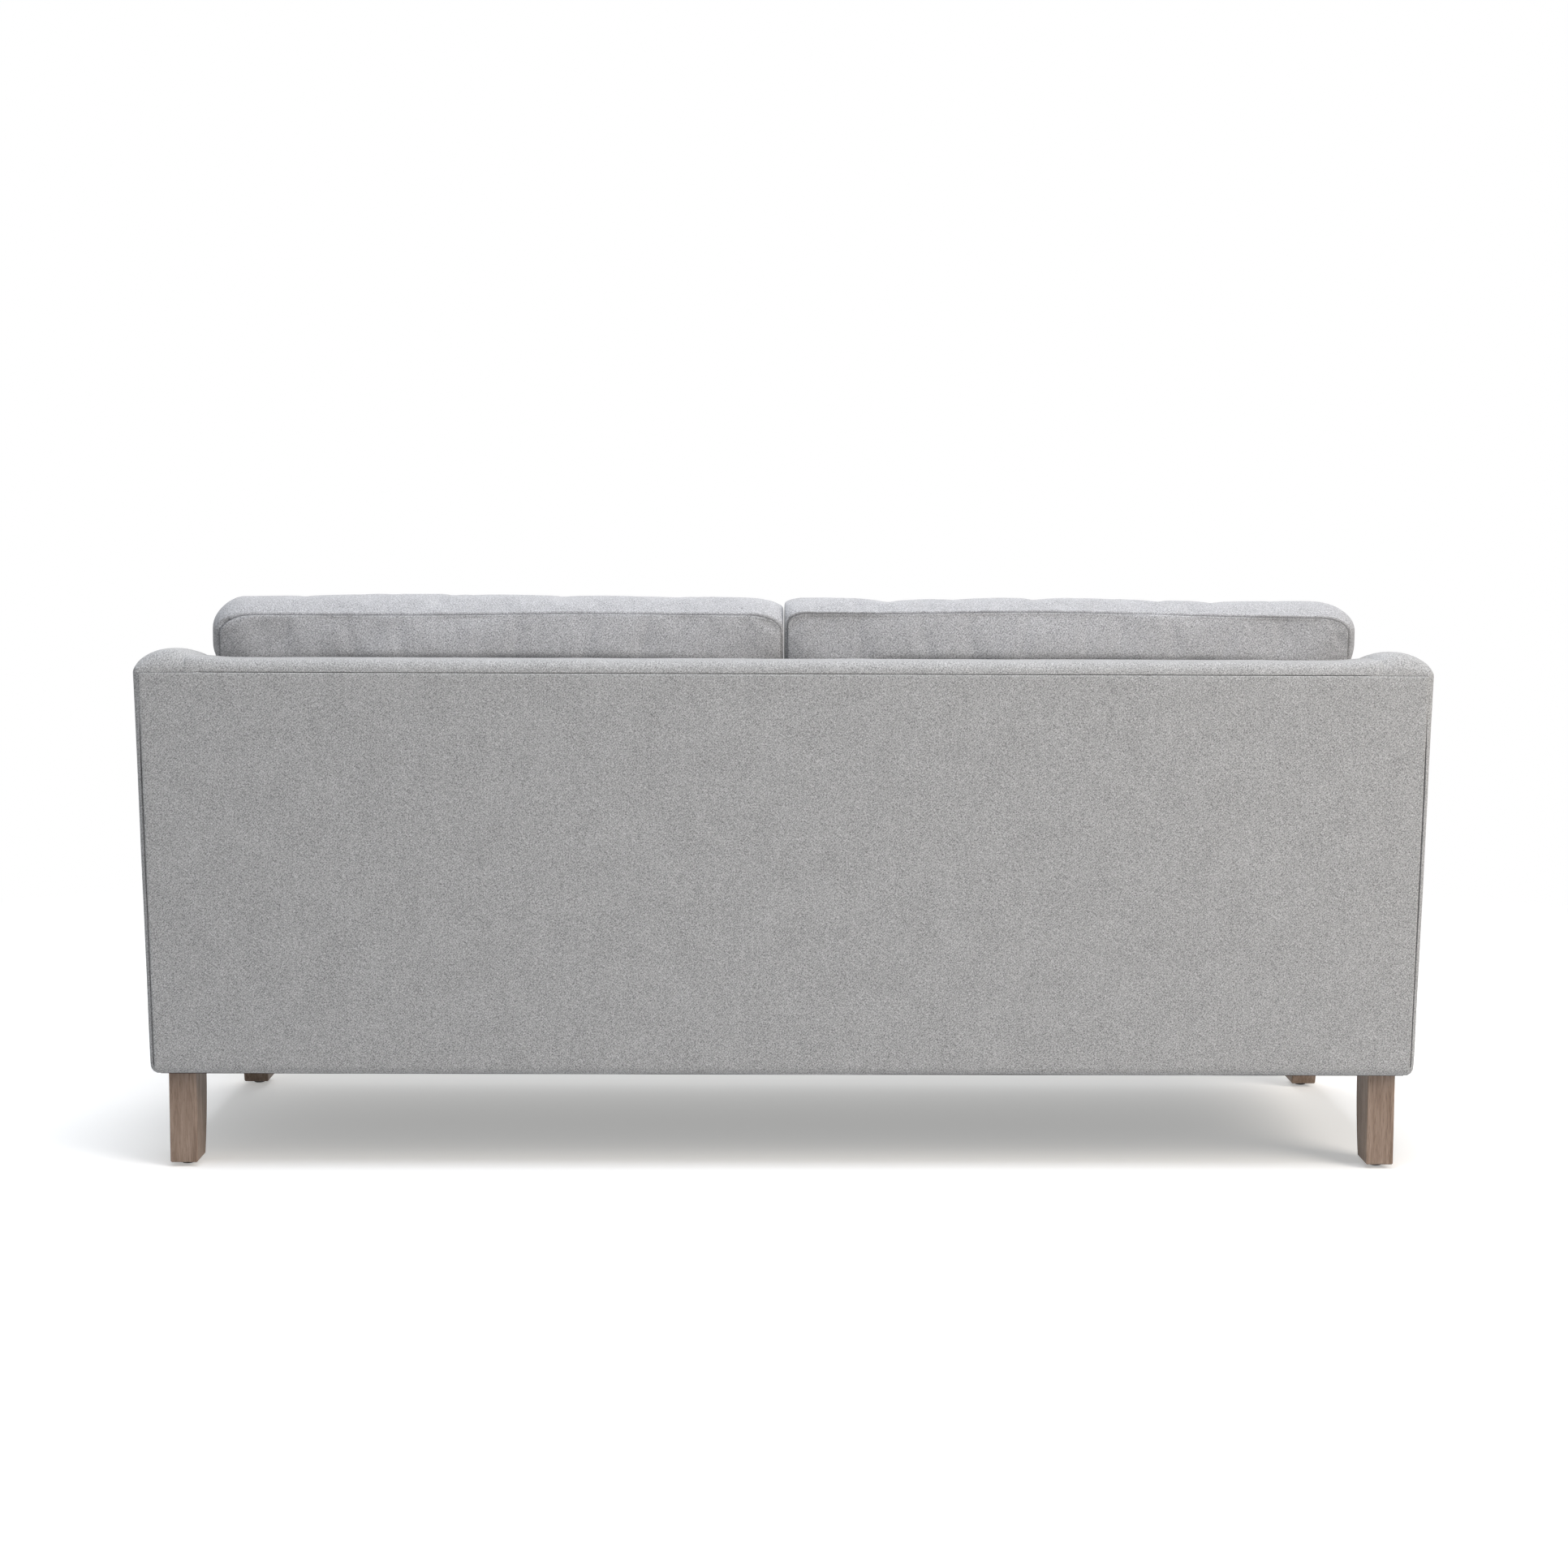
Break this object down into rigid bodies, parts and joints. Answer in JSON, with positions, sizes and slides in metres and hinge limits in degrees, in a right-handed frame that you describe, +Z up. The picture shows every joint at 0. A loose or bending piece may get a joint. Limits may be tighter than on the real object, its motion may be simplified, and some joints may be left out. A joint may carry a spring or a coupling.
{
  "type": "dining sofa",
  "caption": "Slim upholstered dining sofa on short curved wooden legs, with arms that slope down to the front, a low straight back and loose box cushions for seat and back.",
  "frame": {"origin": "on the floor, under the middle of the bounding box", "axes": "+X along the length towards the sitter's left, +Y from the seat's front to the flat rear, +Z up"},
  "size_m": [1.96, 0.7602, 0.8704],
  "materials": {
    "sofa_cloth": "soft brushed weave, matte",
    "deck_cloth": "plain weave, matte",
    "dust_cloth": "thin non-woven cloth, matte",
    "cushion_cloth": "soft brushed weave, matte",
    "padding_foam": "open foam, matte",
    "cushion_filling": "foam core in wadding, matte",
    "felt": "needled felt, matte",
    "webbing": "elastic webbing, matte",
    "frame_timber": "planed softwood, unfinished",
    "plywood": "sanded plywood, unfinished",
    "backing_board": "hardboard, smooth one side",
    "spring_steel": "oiled steel wire",
    "plated_steel": "zinc plated",
    "grey_oak": "weathered oak, matte lacquer",
    "glide_plastic": "moulded, satin",
    "zip_tape": "woven tape with a coiled chain",
    "zip_metal": "painted die-cast metal"
  },
  "bodies": {
    "sofa_frame": {"arm_foam_left": "padding_foam", "arm_foam_right": "padding_foam", "arm_front_posts": "frame_timber", "arm_panel_left": "plywood", "arm_panel_right": "plywood", "arm_top_rail_left": "frame_timber", "arm_top_rail_right": "frame_timber", "back_centre_post": "frame_timber", "back_post_left": "frame_timber", "back_post_right": "frame_timber", "back_tack_rails": "frame_timber", "back_top_border": "sofa_cloth", "back_top_foam": "padding_foam", "back_top_rail": "frame_timber", "back_webbing": "webbing", "corner_blocks": "frame_timber", "deck_cover": "deck_cloth", "deck_felt": "felt", "deck_foam": "padding_foam", "dust_cover": "dust_cloth", "front_border_cover": "sofa_cloth", "front_edge_foam": "padding_foam", "front_leg_left": "grey_oak", "front_leg_right": "grey_oak", "front_rail": "frame_timber", "glides": "glide_plastic", "hanger_bolts": "plated_steel", "inner_back_foam": "padding_foam", "inside_arm_cover_left": "sofa_cloth", "inside_arm_cover_right": "sofa_cloth", "inside_back_cover": "sofa_cloth", "outside_arm_cover_left": "sofa_cloth", "outside_arm_cover_right": "sofa_cloth", "outside_back_cover": "sofa_cloth", "rear_board": "backing_board", "rear_leg_left": "grey_oak", "rear_leg_right": "grey_oak", "rear_rail": "frame_timber", "seat_springs": "spring_steel", "side_rail_left": "frame_timber", "side_rail_right": "frame_timber", "spring_clips": "plated_steel", "stretchers": "frame_timber", "threaded_inserts": "plated_steel"},
    "seat_cushion_left": {"seat_left_cover": "cushion_cloth", "seat_left_filling": "cushion_filling", "seat_left_zip": "zip_tape"},
    "seat_cushion_right": {"seat_right_cover": "cushion_cloth", "seat_right_filling": "cushion_filling", "seat_right_zip": "zip_tape"},
    "back_cushion_left": {"back_left_cover": "cushion_cloth", "back_left_filling": "cushion_filling", "back_left_zip": "zip_tape"},
    "back_cushion_right": {"back_right_cover": "cushion_cloth", "back_right_filling": "cushion_filling", "back_right_zip": "zip_tape"},
    "seat_slider_left": {"seat_left_zip_slider": "zip_metal"},
    "seat_slider_right": {"seat_right_zip_slider": "zip_metal"},
    "back_slider_left": {"back_left_zip_slider": "zip_metal"},
    "back_slider_right": {"back_right_zip_slider": "zip_metal"}
  },
  "joints": [
    {"name": "seat_cushion_left_slide", "type": "slide", "parent": "sofa_frame", "child": "seat_cushion_left", "axis": [0, -1, 0], "range_m": [0, 0.65]},
    {"name": "back_cushion_left_lift", "type": "slide", "parent": "sofa_frame", "child": "back_cushion_left", "axis": [0, 0, 1], "range_m": [0, 0.45]},
    {"name": "seat_cushion_right_slide", "type": "slide", "parent": "sofa_frame", "child": "seat_cushion_right", "axis": [0, -1, 0], "range_m": [0, 0.65]},
    {"name": "back_cushion_right_lift", "type": "slide", "parent": "sofa_frame", "child": "back_cushion_right", "axis": [0, 0, 1], "range_m": [0, 0.45]},
    {"name": "seat_zip_left_slide", "type": "slide", "parent": "seat_cushion_left", "child": "seat_slider_left", "axis": [1, 0, 0], "range_m": [0, 0.619]},
    {"name": "seat_zip_right_slide", "type": "slide", "parent": "seat_cushion_right", "child": "seat_slider_right", "axis": [1, 0, 0], "range_m": [0, 0.619]},
    {"name": "back_zip_left_slide", "type": "slide", "parent": "back_cushion_left", "child": "back_slider_left", "axis": [1, 0, 0], "range_m": [0, 0.619]},
    {"name": "back_zip_right_slide", "type": "slide", "parent": "back_cushion_right", "child": "back_slider_right", "axis": [1, 0, 0], "range_m": [0, 0.619]}
  ]
}
